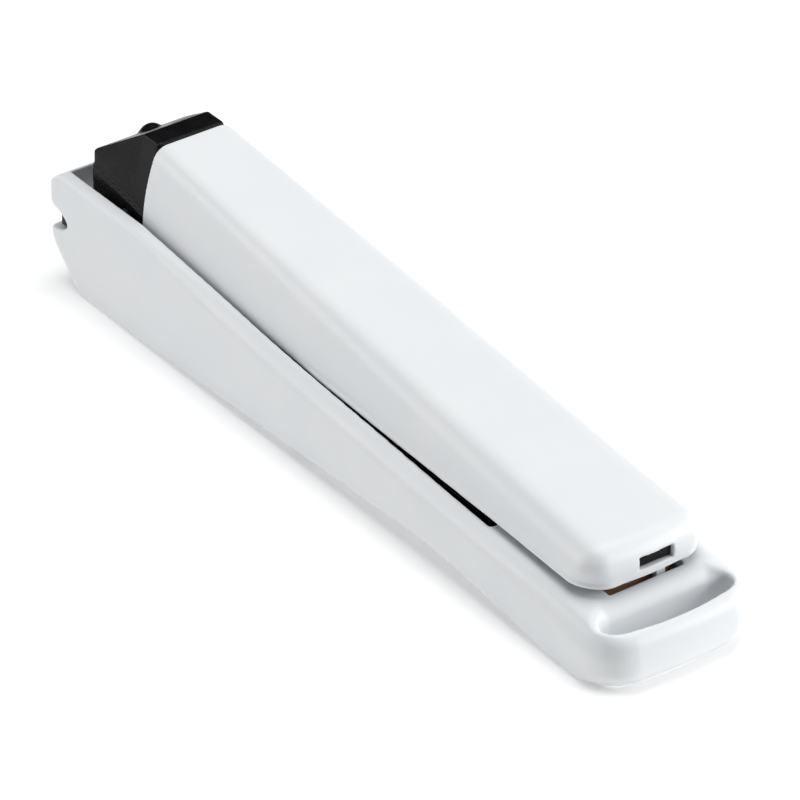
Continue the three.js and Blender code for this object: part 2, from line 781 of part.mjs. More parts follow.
function armFrame() {
  const headStations = [14, 18.5, HEAD_SLOPE_END];
  const head = stacked([ARM_REAR, ...headStations, COVER_REAR - GAP], (x) => headLevels(x, 0));
  const headHollow = stacked([ARM_REAR + FRAME_WALL, ...headStations, COVER_REAR - 1.8],
    (x) => headLevels(x, FRAME_WALL));
  const channelEnd = CHANNEL_END - 1.6;
  const stations = [50, ...SKIRT_STEP, 94, 111, 128];
  const channel = stacked([COVER_REAR - 2, ...stations, channelEnd], (x) => [
    [armHalfBottom(x) - FRAME_INSET, skirtBottom(x)],
    [armHalfBottom(x) - FRAME_INSET, armBottom(x) + 1.9],
    [armHalfTop(x) - 1.2, frameTop(x)],
  ]);
  const channelHollow = stacked([COVER_REAR - 3, ...stations, channelEnd - FRAME_WALL], (x) => [
    [armHalfBottom(x) - FRAME_INSET - FRAME_WALL, skirtBottom(x) - 2],
    [armHalfBottom(x) - FRAME_INSET - FRAME_WALL, armBottom(x) + 1.7],
    [armHalfTop(x) - 1.2 - FRAME_WALL, frameTop(x) - FRAME_WALL],
  ]);
  const knob = cylinderZ(KNOB_X, 0, KNOB_RADIUS, 31, KNOB_TOP, 28);
  const beam = stacked([channelEnd - 2, 160, NOSE - 3], (x) => [
    [BEAM_HALF, BEAM_BOTTOM],
    [BEAM_HALF, Math.min(frameTop(channelEnd), armTop(x) - 2.3)],
  ]);
  const snapTab = box(NOSE - 4, NOSE - 1.3, ...SNAP_TAB);
  const contactRib = box(BRIDGE_X - 2.6, BRIDGE_X + 0.6, -10.5, 10.5, 16, 24);
  const pinLugs = [-1, 1].map((s) => (
    cylinderY(HINGE_X, HINGE_Z, LUG_RADIUS, ...ordered(s * 8.6, s * 11.6))
  ));
  const lugLinks = [-1, 1].map((s) => (
    box(HINGE_X - 2, HINGE_X + 2, ...ordered(s * 9.6, s * 11.6), HINGE_Z, 27)
  ));
  let frame = cut(join(head, channel), headHollow, channelHollow);
  frame = join(frame, knob, beam, snapTab, contactRib, ...pinLugs, ...lugLinks);
  frame = cut(frame, cylinderY(HINGE_X, HINGE_Z, PIN_RADIUS + GAP, -20, 20));
  for (const x of ARM_SCREWS) {
    frame = cut(frame, cylinderZ(x, 0, SCREW_HOLE, 10, 50, 14));
  }
  return toGeometry(frame);
}

// Rimmed seat of the pad, narrow enough to dip into the slot.
function padHolder() {
  const outer = box(HOLDER_START, HOLDER_END, -HOLDER_HALF, HOLDER_HALF, HOLDER_BOTTOM, HOLDER_TOP);
  const pocket = box(PAD_START - GAP, PAD_END + GAP, -PAD_HALF - GAP, PAD_HALF + GAP, 10, PAD_TOP + GAP);
  return toGeometry(cut(outer, pocket));
}

// Silicone pad with a soft rounded lower face.
function pressPad() {
  const shape = new THREE.Shape();
  shape.moveTo(PAD_START, PAD_TOP);
  shape.lineTo(PAD_START, PAD_BOTTOM + 0.5);
  shape.quadraticCurveTo(PAD_START + 0.1, PAD_BOTTOM, PAD_START + 0.9, PAD_BOTTOM);
  shape.lineTo(PAD_END - 0.9, PAD_BOTTOM);
  shape.quadraticCurveTo(PAD_END - 0.1, PAD_BOTTOM, PAD_END, PAD_BOTTOM + 0.5);
  shape.lineTo(PAD_END, PAD_TOP);
  return toGeometry(acrossY(shape, -PAD_HALF, PAD_HALF));
}

// Hook that hangs through the slot and catches under the deck.
function stopHook() {
  return toGeometry(acrossY(polygon([
    [HOOK_REAR, HOLDER_TOP],
    [HOOK_REAR, HOOK_BOTTOM],
    [HOOK_FRONT + 0.1, HOOK_BOTTOM],
    [HOOK_FRONT + 1.3, HOOK_BOTTOM + 1.5],
    [HOOK_FRONT, HOOK_BOTTOM + 1.8],
    [HOOK_FRONT, HOLDER_TOP],
  ]), ...HOOK_SIDES));
}

function contactBridge() {
  return new THREE.BoxGeometry(9, 11, SHEET);
}

// ---------------------------------------------------------------- materials

function material(color, roughness, metalness = 0) {
  return new THREE.MeshStandardMaterial({ color, roughness, metalness });
}

const finish = {
  whiteShell: () => material(0xe9edf0, 0.35),
  blackPlastic: () => material(0x1b1b1d, 0.45),
  silicone: () => material(0x2a201c, 0.6),
  phenolic: () => material(0x8a5a40, 0.6),
  ptfe: () => material(0x5a3a26, 0.5),
  steel: () => material(0xb9bcc0, 0.3, 1),
  nichrome: () => material(0x8d8f92, 0.35, 1),
  brass: () => material(0xc9a24f, 0.3, 1),
  springSteel: () => material(0x9a9da1, 0.3, 1),
  cellWrap: () => material(0x2f6f4e, 0.4, 0.1),
  redWire: () => material(0xb02020, 0.45),
  blackWire: () => material(0x202022, 0.45),
};

// ---------------------------------------------------------------- assembly

const model = new THREE.Group();
const base = new THREE.Group();
const arm = new THREE.Group();
model.add(base, arm);

function place(group, name, geometry, look, position = [0, 0, 0], rotation = [0, 0, 0]) {
  const mesh = new THREE.Mesh(geometry, look);
  mesh.name = name;
  mesh.position.set(...position);
  mesh.rotation.set(...rotation);
  group.add(mesh);
}

// Base.
place(base, 'base_shell', baseShell(), finish.whiteShell());
place(base, 'bottom_cover', bottomCover(), finish.whiteShell());
place(base, 'battery_door', batteryDoor(), finish.whiteShell());
place(base, 'inner_tray', innerTray(), finish.blackPlastic());

const alongX = [0, 0, -Math.PI / 2];
const againstX = [0, 0, Math.PI / 2];
place(base, 'battery_cell_a', batteryCell(), finish.cellWrap(), [CELL_A_START, -CELL_Y, CELL_Z], alongX);
place(base, 'battery_cell_b', batteryCell(), finish.cellWrap(), [CELL_B_END, CELL_Y, CELL_Z], againstX);
place(base, 'contact_negative', contactPlate(12), finish.steel(), [CONTACT_REAR + 0.2, -CELL_Y, CELL_Z]);
place(base, 'contact_positive', contactPlate(12), finish.steel(), [CONTACT_REAR + 0.2, CELL_Y, CELL_Z]);
place(base, 'contact_link', contactPlate(26), finish.steel(), [CONTACT_FRONT + 0.2, 0, CELL_Z]);

const springLength = CELL_A_START - CONTACT_REAR - SHEET - 2 * GAP;
place(base, 'battery_spring_a', batterySpring(springLength), finish.springSteel(),
  [CONTACT_REAR + SHEET + GAP, -CELL_Y, CELL_Z]);
place(base, 'battery_spring_b', batterySpring(springLength), finish.springSteel(),
  [CONTACT_FRONT - GAP, CELL_Y, CELL_Z], [0, 0, Math.PI]);

const heaterX = (HEATER_START + HEATER_END) / 2;
place(base, 'heater_block', heaterBlock(), finish.phenolic());
place(base, 'heater_strip', heaterStrip(), finish.nichrome(), [heaterX, 0, HEATER_TOP + 0.4]);
place(base, 'heater_tape', heaterTape(), finish.ptfe(), [heaterX, 0, HEATER_TOP + 0.9]);
place(base, 'heater_terminal_left', heaterTerminal(), finish.brass(), [heaterX, -TERMINAL_Y, TERMINAL_Z]);
place(base, 'heater_terminal_right', heaterTerminal(), finish.brass(), [heaterX, TERMINAL_Y, TERMINAL_Z]);

place(base, 'switch_leaf_left', switchLeaf(), finish.brass(), [LEAF_X, -LEAF_Y, TRAY_FLOOR]);
place(base, 'switch_leaf_right', switchLeaf(), finish.brass(), [LEAF_X, LEAF_Y, TRAY_FLOOR]);

const wires = {
  wire_positive: [finish.redWire(), [
    [9.4, 14.2, 9], [10.4, 14.2, 6.4], [14, 14.1, 5.6], [40, 14.1, 5.8], [68, 14, 6.9], [73, 12, 7.2],
    [80, 6.8, 7.6], [118, 6.6, 8.2], [146, 6.6, 7.8], [160, 6.8, 7.2], [164, 7.6, 7.2], [167, 9.4, 7.6],
    [170, 9.5, 9],
  ]],
  wire_negative: [finish.blackWire(), [
    [9.4, -14.2, 9], [10.4, -14.2, 6.4], [14, -14.1, 5.6], [40, -14.1, 5.8], [68, -14, 6.9],
    [73, -12, 7.2], [80, -6.4, 7.6], [110, -3.5, 8.1], [127.3, -3.5, 8.3],
  ]],
  wire_heater: [finish.blackWire(), [
    [129.2, 3.5, 8.3], [134, 1.5, 8.2], [146, -5.6, 7.9], [160, -6.8, 7.2], [164, -7.6, 7.2],
    [167, -9.4, 7.6], [170, -9.5, 9],
  ]],
};
for (const [name, [look, points]] of Object.entries(wires)) {
  place(base, name, rodAlong(wireCurve(points), WIRE_RADIUS, 3 * points.length, 8), look);
}

place(base, 'hinge_pin', hingePin(), finish.steel(), [HINGE_X, 0, HINGE_Z]);
place(base, 'return_spring', returnSpring(), finish.springSteel(), [HINGE_X, 0, HINGE_Z]);

const sideNames = { '-1': 'left', 1: 'right' };
const spotNames = ['rear', 'front'];
SCREW_SPOTS.forEach(([x, y], spot) => {
  for (const side of [-1, 1]) {
    place(base, `base_screw_${spotNames[spot]}_${sideNames[side]}`, screw(4.2), finish.steel(),
      [x, side * y, underHeight(x) + 0.1]);
  }
});

// Arm.
place(arm, 'arm_cover', armCover(), finish.whiteShell());
place(arm, 'arm_frame', armFrame(), finish.blackPlastic());
place(arm, 'pad_holder', padHolder(), finish.whiteShell());
place(arm, 'press_pad', pressPad(), finish.silicone());
place(arm, 'stop_hook', stopHook(), finish.whiteShell());
place(arm, 'contact_bridge', contactBridge(), finish.brass(), [BRIDGE_X, 0, BRIDGE_Z]);
ARM_SCREWS.forEach((x, i) => {
  place(arm, `arm_screw_${spotNames[i]}`, screw(5), finish.steel(), [x, 0, frameTop(x) - 2.9]);
});

model.position.x = -LENGTH / 2;

export default model;
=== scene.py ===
"""Looks of the handheld bag heat sealer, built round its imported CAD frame.

The moulded shells are distance fields in millimetres, x measured from the rear
wall: simple solids are met, fused and carved with soft edges, then meshed. The
small parts keep their CAD meshes and get rounded edges and their own finishes.
"""

import math

import bpy
import numpy as np
import openvdb
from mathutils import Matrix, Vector


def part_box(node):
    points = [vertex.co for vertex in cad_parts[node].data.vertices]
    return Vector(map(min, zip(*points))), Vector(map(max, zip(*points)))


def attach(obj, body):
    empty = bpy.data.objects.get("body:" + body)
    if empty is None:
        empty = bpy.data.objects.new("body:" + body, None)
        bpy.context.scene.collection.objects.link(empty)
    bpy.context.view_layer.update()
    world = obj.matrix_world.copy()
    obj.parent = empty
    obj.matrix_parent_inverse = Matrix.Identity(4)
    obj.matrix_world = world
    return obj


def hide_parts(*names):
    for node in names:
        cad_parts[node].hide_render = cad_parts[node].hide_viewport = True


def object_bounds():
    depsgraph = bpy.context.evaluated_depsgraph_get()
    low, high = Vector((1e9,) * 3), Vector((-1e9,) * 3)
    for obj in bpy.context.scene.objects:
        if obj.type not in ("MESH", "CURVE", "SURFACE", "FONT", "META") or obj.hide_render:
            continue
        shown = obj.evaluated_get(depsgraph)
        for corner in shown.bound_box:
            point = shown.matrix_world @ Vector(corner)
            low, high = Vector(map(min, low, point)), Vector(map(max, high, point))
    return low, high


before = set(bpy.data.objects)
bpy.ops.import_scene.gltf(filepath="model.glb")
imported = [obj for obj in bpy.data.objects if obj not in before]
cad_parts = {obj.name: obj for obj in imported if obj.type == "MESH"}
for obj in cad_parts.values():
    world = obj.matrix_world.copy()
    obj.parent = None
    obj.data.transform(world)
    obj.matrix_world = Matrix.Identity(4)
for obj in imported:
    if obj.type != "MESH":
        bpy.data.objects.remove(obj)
CAD_LOW, CAD_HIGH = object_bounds()

MM = 0.001
REAR_WALL = CAD_LOW.x
LENGTH = (CAD_HIGH.x - CAD_LOW.x) / MM

# ---------------------------------------------------------------- sizes, mm

# Base.
HALF_REAR = 17.0
HALF_FRONT = 18.6
REAR_CORNER = 3.0
FRONT_CORNER = [(179.5, HALF_FRONT), (188, HALF_FRONT), (189.5, 11.5)]
FRONT_BOW = 6.0
RIM_POINTS = [(31, 25.7), (58, 23), (85, 20.3), (118, 17.9), (147.5, 15.9), (176, 14.1), (186, 12.4)]
FRONT_RIM = 12.0
FLAT_RIM = 25.7
BACK_DROP = 3.4
CHANNEL_START = 4.2
CHANNEL_END = 147.5
CHANNEL_HALF_REAR = 13.8
CHANNEL_HALF_FRONT = 14.6
BAY_START = 8.0
BAY_HALF = 15.1
BAY_TOP = 18.4
BAY_FLOOR = 3.0
HEATER_BAY = (177.6, 2.2, 11.9)
FOOT_REAR_END = 24.0
FOOT_FRONT_START = 176.0
FLOOR_SLOPE = 0.0425
FRONT_FLOOR_SLOPE = 0.112
ARCH_START = 114.0
ARCH_END = 150.0
ARCH_CONTROL = (131, 5.5)
SLOT = (166.2, 176.5, 8.8)
LOOP_REAR = 180.7
LOOP_HALF = 15.3
LOOP_BEND = 185.6
LOOP_SHOULDER = (186.1, 10.5)
LOOP_FRONT = 186.8
NOTCH_LOW = (5.4, 13.1)
NOTCH_DEEP = (9.2, 15)
NOTCH_HIGH = (5.4, 16.8)
NOTCH_WINDOW = (3.2, 9, -15.9, 15.9, 13, 17.3)
HINGE = (22.0, 23.0)
PIN_RADIUS = 1.5
SCREW_SPOTS = [(86.0, 11.4), (158.5, 11.4)]
POST_LIFT = 3.2
PILOT_RADIUS = 1.3
HEEL = 7.0
TOE_RADIUS = 5.2

# Underside covers.
DOOR = (13.4, 70.2)
DOOR_LIFT = 0.35
DOOR_THICKNESS = 1.5
COVER = (70.5, 171.6)
COVER_THICKNESS = 1.6
UNDER_HALF = 14.7

# Arm.
ARM_REAR = 28.7
ARM_FRONT = 178.0
NOSE = 179.0
ARM_TOP_REAR = 40.8
ARM_TOP_SLOPE = 17 / 149.3
ARM_BOTTOM_POINTS = [(28, 22.0), (60, 20.3), (85, 19.2), (115, 18.2), (147.5, 17.35),
                     (178, 16.1), (180, 16.0)]
COVER_HALF_LOW = (12.85, 14.55)
COVER_HALF_HIGH = (8.8, 14.1)
FRAME_HALF_LOW = (12.9, 14.9)
FRAME_HALF_HIGH = (8.2, 14.4)
ARM_WALL = 1.5
LIP_HEIGHT = 1.1
LIP_STEP = 0.32
NOSE_LEAN = 0.17
WINDOW = (-3.2, 4.9, 18.1, 20.9)
HEAD_REAR = 9.9
HEAD_SLOPE_END = 23.0
HEAD_EDGE = 32.5
HEAD_CREST = 40.9
HEAD_HALF = 12.2
HEAD_PULL_IN = 3.8
FACET_HALF = 11.7
BOSS = (14.2, 36.4)
FRAME_WALL = 1.3
FRAME_END = CHANNEL_END - 1.6
SKIRT_BOTTOM = 20.3
ARM_SCREWS = [55.0, 118.0]


# ---------------------------------------------------------------- outlines

def bend(start, control, end, steps=12):
    """Points of a quadratic curve, its end left out."""
    t = np.linspace(0, 1, steps, endpoint=False)[:, None]
    start, control, end = (np.array(p, float) for p in (start, control, end))
    return list((1 - t) ** 2 * start + 2 * t * (1 - t) * control + t**2 * end)


def flow(points, steps=10):
    """Points of a smooth line through all the given ones."""
    p = np.array([points[0], *points, points[-1]], float)
    found = []
    for i in range(1, len(p) - 2):
        t = np.linspace(0, 1, steps, endpoint=False)[:, None]
        a, b, c, d = p[i - 1], p[i], p[i + 1], p[i + 2]
        found += list(0.5 * (2 * b + (c - a) * t + (2 * a - 5 * b + 4 * c - d) * t**2
                             + (3 * b - a - 3 * c + d) * t**3))
    return found + [p[-1]]


def mirrored(points):
    """An outline's points followed by their mirror image across the middle plane."""
    return list(points) + [(x, -y) for x, y in reversed(points)]


def distance_to(outline, u, v):
    """Signed distance from each (u, v) to a closed outline, negative inside."""
    points = np.array([np.array(p, float) for p in outline])
    nearest = np.full(np.broadcast(u, v).shape, np.inf)
    inside = np.zeros(nearest.shape, bool)
    for (u0, v0), (u1, v1) in zip(points, np.roll(points, -1, axis=0)):
        du, dv = u1 - u0, v1 - v0
        length = du * du + dv * dv
        if length == 0:
            continue
        t = np.clip(((u - u0) * du + (v - v0) * dv) / length, 0, 1)
        nearest = np.minimum(nearest, (u - u0 - t * du) ** 2 + (v - v0 - t * dv) ** 2)
        if dv != 0:
            inside ^= ((v0 <= v) != (v1 <= v)) & (u < u0 + (v - v0) * du / dv)
    return np.where(inside, -1, 1) * np.sqrt(nearest)


# ---------------------------------------------------------------- fields

def meet(a, b, radius=0.0):
    """What is inside both, with its edge rounded."""
    hard = np.maximum(a, b)
    if np.isscalar(radius) and radius == 0:
        return hard
    corner = np.hypot(np.maximum(a + radius, 0), np.maximum(b + radius, 0))
    return np.minimum(-radius, hard) + corner


def fuse(a, b, radius=0.0):
    """What is inside either, with a fillet in the inner corner."""
    return -meet(-a, -b, radius)


def carve(a, b, radius=0.0):
    """What is inside a and not b, with the new edge rounded."""
    return meet(a, -b, radius)


def chamfered(a, b, drop, inset, soft):
    """What is inside both, its edge cut by a soft slope that drops along b and sets in along a."""
    slope = (a / drop + b / inset + 1) / np.hypot(1 / drop, 1 / inset)
    return meet(meet(a, slope, soft), b, soft)


def ease(x, start, end, low, high):
    """Smooth change from low before start to high after end."""
    t = np.clip((x - start) / (end - start), 0, 1)
    return low + (high - low) * t * t * (3 - 2 * t)


class Block:
    """A regular block of sample points."""

    def __init__(self, low, high, step):
        self.step = step
        self.low = np.array(low, float) - 2 * step
        counts = np.ceil((np.array(high, float) + 2 * step - self.low) / step).astype(int) + 1
        axes = [self.low[i] + step * np.arange(counts[i], dtype=np.float32) for i in range(3)]
        self.x = axes[0][:, None, None]
        self.y = axes[1][None, :, None]
        self.z = axes[2][None, None, :]
        self.away = np.abs(self.y)

    def side(self, outline):
        """Distance to an outline of (x, z) points drawn across the whole width."""
        return distance_to(outline, self.x, self.z)

    def plan(self, outline):
        """Distance to an outline of (x, y) points drawn through the whole height."""
        return distance_to(outline, self.x, self.y)

    def box(self, x0, x1, y0, y1, z0, z1):
        """Box between three pairs of planes."""
        sides = [x0 - self.x, self.x - x1, y0 - self.y, self.y - y1, z0 - self.z, self.z - z1]
        return np.maximum.reduce(np.broadcast_arrays(*sides))

    def upright(self, x, y, radius, z0, z1):
        """Round post along Z."""
        return meet(np.hypot(self.x - x, self.y - y) - radius, np.maximum(z0 - self.z, self.z - z1))

    def crosswise(self, x, z, radius, y0, y1):
        """Round bar along Y."""
        return meet(np.hypot(self.x - x, self.z - z) - radius, np.maximum(y0 - self.y, self.y - y1))


def both_ways(low, high):
    """The span low to high on the right, then its mirror image on the left."""
    return [(-high, -low), (low, high)]


def smooth_all(piece):
    piece.data.polygons.foreach_set("use_smooth", np.ones(len(piece.data.polygons), bool))


def follow_field(mesh, block, field):
    """Shades the mesh with the field's own slope, sampled at each vertex."""
    points = np.empty(len(mesh.vertices) * 3, np.float32)
    mesh.vertices.foreach_get("co", points)
    points = points.reshape(-1, 3) / MM
    points[:, 0] -= REAR_WALL / MM
    cell = (points - block.low) / block.step
    whole = np.clip(np.floor(cell).astype(int), 1, np.array(field.shape) - 3)
    part = cell - whole
    slope = np.zeros_like(points)
    for corner in np.ndindex(2, 2, 2):
        weight = np.prod(np.where(corner, part, 1 - part), axis=1)
        at = whole + corner
        for axis in range(3):
            step = np.eye(3, dtype=int)[axis]
            slope[:, axis] += weight * (field[tuple((at + step).T)] - field[tuple((at - step).T)])
    slope /= np.linalg.norm(slope, axis=1, keepdims=True) + 1e-9
    mesh.normals_split_custom_set_from_vertices(slope.tolist())


def weigh_normals(piece):
    modifier = piece.modifiers.new("normals", "WEIGHTED_NORMAL")
    modifier.weight = 80
    modifier.keep_sharp = True


def mesh_piece(name, block, field, keep, material):
    """The surface where the field is zero, thinned to a share of its faces."""
    grid = openvdb.FloatGrid(10.0)
    grid.copyFromArray(np.ascontiguousarray(field, np.float32))
    points, _, quads = grid.convertToPolygons(isovalue=0.0, adaptivity=0.0)
    points = (points * block.step + block.low) * MM
    points[:, 0] += REAR_WALL
    mesh = bpy.data.meshes.new(name)
    mesh.from_pydata(points.tolist(), [], quads.tolist())
    mesh.validate()
    piece = bpy.data.objects.new(name, mesh)
    bpy.context.scene.collection.objects.link(piece)
    thin = piece.modifiers.new("thin", "DECIMATE")
    thin.ratio = keep
    ready = piece.evaluated_get(bpy.context.evaluated_depsgraph_get())
    piece.data = bpy.data.meshes.new_from_object(ready)
    piece.modifiers.clear()
    piece.data.materials.clear()
    piece.data.materials.append(material)
    smooth_all(piece)
    follow_field(piece.data, block, field)
    return piece


# ---------------------------------------------------------------- materials

def noise(nodes, links, scale, detail, source):
    """Noise of that scale, read at the source's coordinates."""
    texture = nodes.new("ShaderNodeTexNoise")
    texture.inputs["Scale"].default_value = scale
    texture.inputs["Detail"].default_value = detail
    links.new(source, texture.inputs["Vector"])
    return texture.outputs["Fac"]


def spread_value(nodes, links, factor, low, high):
    """Maps the middle of a noise onto low to high."""
    ranged = nodes.new("ShaderNodeMapRange")
    ranged.inputs["From Min"].default_value = 0.3
    ranged.inputs["From Max"].default_value = 0.7
    ranged.inputs["To Min"].default_value = low
    ranged.inputs["To Max"].default_value = high
    links.new(factor, ranged.inputs["Value"])
    return ranged.outputs["Result"]


def two_tone(nodes, links, factor, dark, light):
    """Mottle between two tones."""
    ramp = nodes.new("ShaderNodeValToRGB")
    ramp.color_ramp.elements[0].position = 0.35
    ramp.color_ramp.elements[1].position = 0.65
    ramp.color_ramp.elements[0].color = (*dark, 1)
    ramp.color_ramp.elements[1].color = (*light, 1)
    links.new(factor, ramp.inputs["Fac"])
    return ramp.outputs["Color"]


def relief(nodes, links, heights, depth):
    """Bump of summed noises, depth in metres."""
    total = heights[0]
    for height in heights[1:]:
        add = nodes.new("ShaderNodeMath")
        add.operation = "ADD"
        links.new(total, add.inputs[0])
        links.new(height, add.inputs[1])
        total = add.outputs[0]
    bump = nodes.new("ShaderNodeBump")
    bump.inputs["Distance"].default_value = depth
    links.new(total, bump.inputs["Height"])
    return bump.outputs["Normal"]


def finish(name, dark, light, gloss, tone_scale, grain_scale, depth, metallic=0.0, stretch=(1, 1, 1)):
    """A moulded or drawn surface: mottled tone, uneven gloss and a fine grain.

    Tones are linear colours, gloss is the roughness from low to high, the scales are
    waves per metre and depth is the grain's height in metres.
    """
    made = bpy.data.materials.new(name)
    made.use_nodes = True
    nodes, links = made.node_tree.nodes, made.node_tree.links
    shader = nodes["Principled BSDF"]
    place = nodes.new("ShaderNodeTexCoord").outputs["Object"]
    stretched = nodes.new("ShaderNodeMapping")
    stretched.inputs["Scale"].default_value = stretch
    links.new(place, stretched.inputs["Vector"])
    place = stretched.outputs["Vector"]
    tone = noise(nodes, links, tone_scale, 3, place)
    grain = noise(nodes, links, grain_scale, 1, place)
    links.new(two_tone(nodes, links, tone, dark, light), shader.inputs["Base Color"])
    links.new(spread_value(nodes, links, grain, *gloss), shader.inputs["Roughness"])
    links.new(relief(nodes, links, [grain], depth), shader.inputs["Normal"])
    shader.inputs["Metallic"].default_value = metallic
    return made


# Tone scale, grain scale and grain depth.
GLOSSY = (60, 330, 1e-7)
DRAWN = (500, 2500, 3e-6)
SLEEVED = (400, 2000, 4e-6)

white = finish("white_abs", (0.79, 0.815, 0.835), (0.81, 0.83, 0.845), (0.40, 0.42), *GLOSSY)
white_inside = finish("white_abs_lower", (0.76, 0.785, 0.80), (0.79, 0.81, 0.82), (0.44, 0.46), *GLOSSY)
black = finish("black_abs", (0.004, 0.004, 0.0045), (0.007, 0.007, 0.008), (0.24, 0.36),
               400, 2200, 1.2e-5)
black.node_tree.nodes["Principled BSDF"].inputs["Specular IOR Level"].default_value = 0.14
steel = finish("steel", (0.50, 0.51, 0.53), (0.62, 0.63, 0.65), (0.22, 0.34),
               300, 1800, 3e-6, 1.0, (0.15, 1, 1))
spring_steel = finish("spring_steel", (0.36, 0.37, 0.39), (0.50, 0.51, 0.53), (0.2, 0.32), *DRAWN, 1.0)
nichrome = finish("nichrome", (0.34, 0.33, 0.32), (0.44, 0.43, 0.41), (0.3, 0.42), *DRAWN, 1.0)
brass = finish("brass", (0.62, 0.44, 0.16), (0.74, 0.55, 0.24), (0.22, 0.36), 400, 2200, 3e-6, 1.0)
silicone = finish("silicone", (0.020, 0.015, 0.013), (0.032, 0.024, 0.020), (0.55, 0.68),
                  300, 2600, 1e-5)
# Steel for the hinge pin, darkened to paint the shade it sits in: painted shade, not a blackened
# finish.
painted_shade_steel = finish("painted_shade_steel", (0.035, 0.035, 0.037), (0.05, 0.05, 0.052), (0.4, 0.5),
                    500, 2000, 3e-6, 0.6)
phenolic = finish("phenolic", (0.34, 0.17, 0.10), (0.42, 0.22, 0.13), (0.45, 0.6), 500, 2600, 1e-5)
red_wire = finish("red_insulation", (0.42, 0.018, 0.018), (0.50, 0.028, 0.024), (0.35, 0.45), *SLEEVED)
black_wire = finish("black_insulation", (0.010, 0.010, 0.010), (0.018, 0.018, 0.019), (0.35, 0.45),
                    *SLEEVED)


def woven_tape():
    """Glass cloth coated brown: crossed threads half a millimetre apart."""
    made = finish("brown_tape", (0.17, 0.085, 0.045), (0.26, 0.14, 0.08), (0.35, 0.5), 700, 2400, 1e-5)
    nodes, links = made.node_tree.nodes, made.node_tree.links
    place = nodes["Texture Coordinate"].outputs["Object"]
    threads = []
    for across in ("X", "Y"):
        wave = nodes.new("ShaderNodeTexWave")
        wave.bands_direction = across
        wave.inputs["Scale"].default_value = 620
        links.new(place, wave.inputs["Vector"])
        threads.append(wave.outputs["Fac"])
    links.new(relief(nodes, links, threads, 4e-5), nodes["Principled BSDF"].inputs["Normal"])
    return made


def cell_wrap(name, node, cap):
    """Plain sleeve and gold band on a cell along X, bare steel at both ends.

    The cap is the share of the length that is bare at the flat end, below zero for a
    cell that is turned round.
    """
    made = finish(name, (0.030, 0.11, 0.075), (0.036, 0.13, 0.09), (0.25, 0.34), 200, 1500, 3e-6)
    nodes, links = made.node_tree.nodes, made.node_tree.links
    shader = nodes["Principled BSDF"]
    low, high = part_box(node)
    nub = abs(cap) * 1.6
    split = nodes.new("ShaderNodeSeparateXYZ")
    links.new(nodes["Texture Coordinate"].outputs["Object"], split.inputs["Vector"])
    along = nodes.new("ShaderNodeMapRange")
    along.inputs["From Min"].default_value = low.x
    along.inputs["From Max"].default_value = high.x
    links.new(split.outputs["X"], along.inputs["Value"])
    bands = nodes.new("ShaderNodeValToRGB")
    bands.color_ramp.interpolation = "CONSTANT"
    steel_tone, gold_tone = (0.5, 0.5, 0.52, 1), (0.42, 0.30, 0.10, 1)
    sleeve_tone = (0.034, 0.12, 0.08, 1)
    order = [(0.0, steel_tone), (cap, sleeve_tone), (0.72, gold_tone), (1 - nub, steel_tone)]
    if cap < 0:
        order = [(0.0, steel_tone), (nub, gold_tone), (0.28, sleeve_tone), (1 + cap, steel_tone)]
    bands.color_ramp.elements[0].position = order[0][0]
    bands.color_ramp.elements[0].color = order[0][1]
    bands.color_ramp.elements[1].position = order[-1][0]
    bands.color_ramp.elements[1].color = order[-1][1]
    for position, colour in order[1:-1]:
        bands.color_ramp.elements.new(position).color = colour
    links.new(along.outputs["Result"], bands.inputs["Fac"])
    links.new(bands.outputs["Color"], shader.inputs["Base Color"])
    return made


# ---------------------------------------------------------------- base shapes

def floor_height(x):
    """Height of the rear run of the underside."""
    return max(0.0, (x - FOOT_REAR_END) * FLOOR_SLOPE)


def front_floor_height(x):
    """Height of the front run of the underside."""
    return max(0.0, (FOOT_FRONT_START - x) * FRONT_FLOOR_SLOPE)


def under_height(x):
    return floor_height(x) if x < ARCH_START else front_floor_height(x)


def underside():
    """Points of the underside from the rear foot to the front one."""
    arch_start = (ARCH_START, floor_height(ARCH_START))
    arch_end = (ARCH_END, front_floor_height(ARCH_END))
    return [(FOOT_REAR_END, 0.0), *bend(arch_start, ARCH_CONTROL, arch_end), arch_end,
            (FOOT_FRONT_START, 0.0)]


def rim_line(x):
    """Height of the base's rim."""
    xs, zs = np.array(flow([*RIM_POINTS, (LENGTH, FRONT_RIM)])).T
    return np.interp(x, xs, zs)


def slope_of(line, x):
    """How steeply a height line climbs at x."""
    return line(x + 0.5) - line(x - 0.5)


def under_line(x):
    """Height of the underside, with its arch."""
    xs, zs = np.array(underside()).T
    return np.interp(x, xs, zs)


def base_plan():
    """Outline from above: small rear corners, wide soft ones in front."""
    half = [(0, 0)]
    half += bend((0, HALF_REAR - REAR_CORNER), (0, HALF_REAR), (REAR_CORNER, HALF_REAR), 8)
    half += bend(*FRONT_CORNER, 14)
    half += bend(FRONT_CORNER[2], (LENGTH, FRONT_BOW), (LENGTH, 0), 10)
    return mirrored(half)


def loop_hole():
    """Outline of the hanging hole: straight at the rear, bowed along the front bar."""
    side = (LOOP_REAR + 2, LOOP_HALF)
    half = [(LOOP_REAR, 0)]
    half += bend((LOOP_REAR, LOOP_HALF - 2.5), (LOOP_REAR, LOOP_HALF), side, 8)
    half += bend(side, (LOOP_BEND, LOOP_HALF), LOOP_SHOULDER, 10)
    half += bend(LOOP_SHOULDER, (LOOP_FRONT, 5), (LOOP_FRONT, 0), 8)
    return mirrored(half)


def rear_notch():
    """Side outline of the finger notch, open past the rear wall."""
    curve = bend(NOTCH_LOW, NOTCH_DEEP, NOTCH_HIGH, 8)
    return [(-4, 10.8), NOTCH_LOW, *curve, NOTCH_HIGH, (-4, 19.6)]


